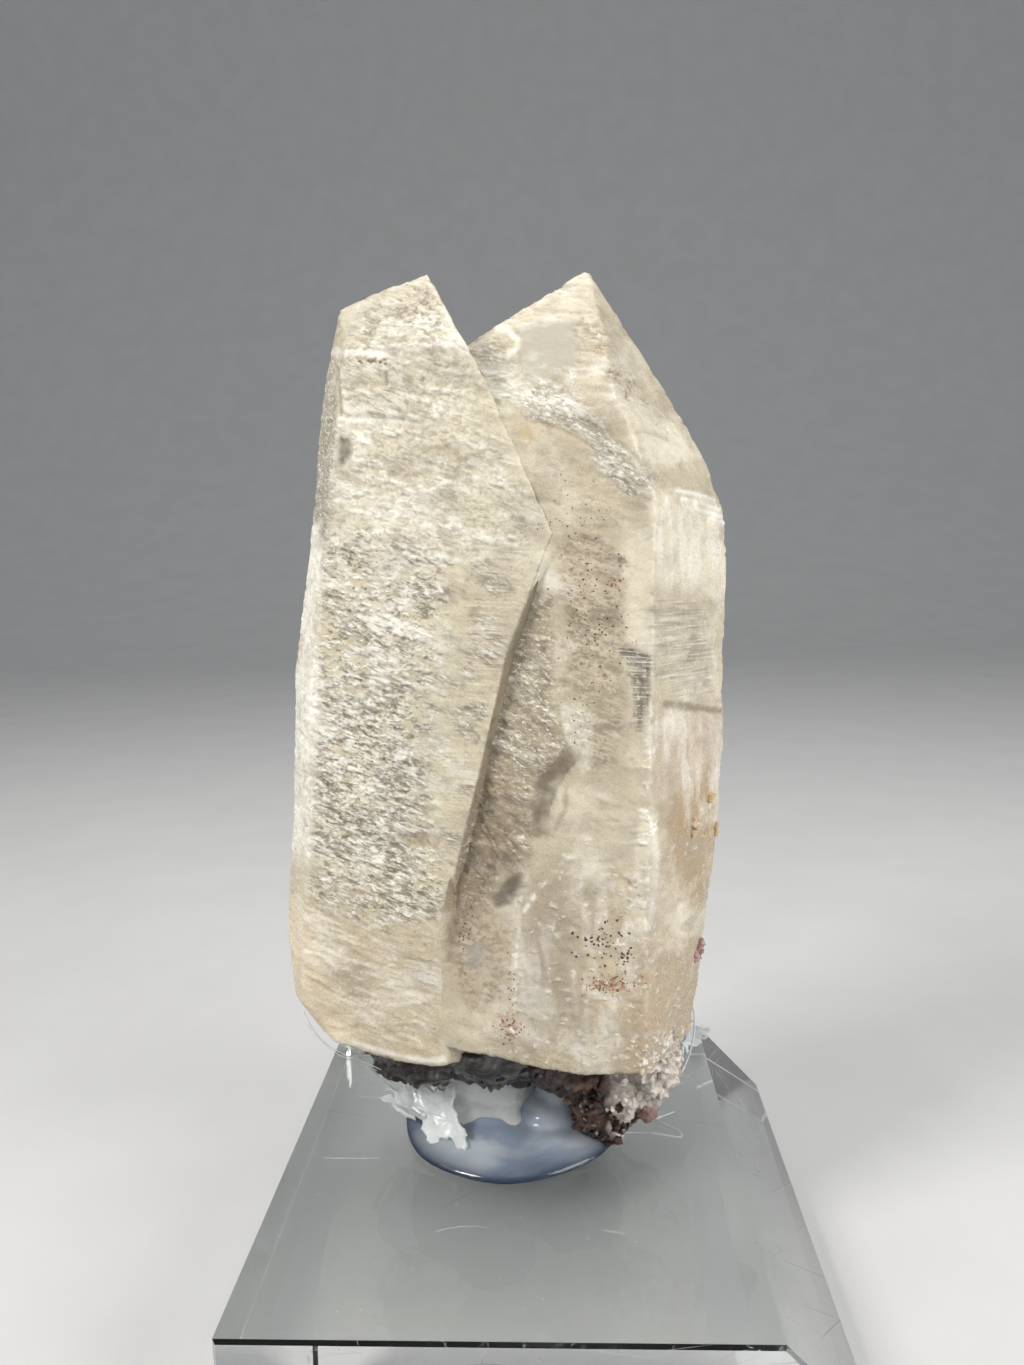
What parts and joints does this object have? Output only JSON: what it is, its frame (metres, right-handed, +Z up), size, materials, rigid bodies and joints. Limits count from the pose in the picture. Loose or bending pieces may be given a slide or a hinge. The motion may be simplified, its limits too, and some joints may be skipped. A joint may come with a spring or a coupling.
{
  "type": "quartz crystal specimen on an acrylic base",
  "caption": "Pair of milky, pale quartz crystals grown side by side with a notch between their tips, on a dark drusy root, glued upright to a clear bevelled block.",
  "frame": {"origin": "on the surface the block stands on, under the middle of the block", "axes": "+Z up along the crystals, -Y out of the broad crystal faces, +X towards the block's sloping side"},
  "size_m": [0.0636, 0.0636, 0.1178],
  "materials": {
    "quartz": "milky, frosted by etching, glassy on its clean faces",
    "glue": "hazy, glossy hot-melt glue",
    "acrylic": "clear and polished, with fine scratches"
  },
  "bodies": {
    "root": {"quartz_crystals": "quartz", "hot_glue_mount": "glue", "acrylic_stand": "acrylic"}
  },
  "joints": []
}
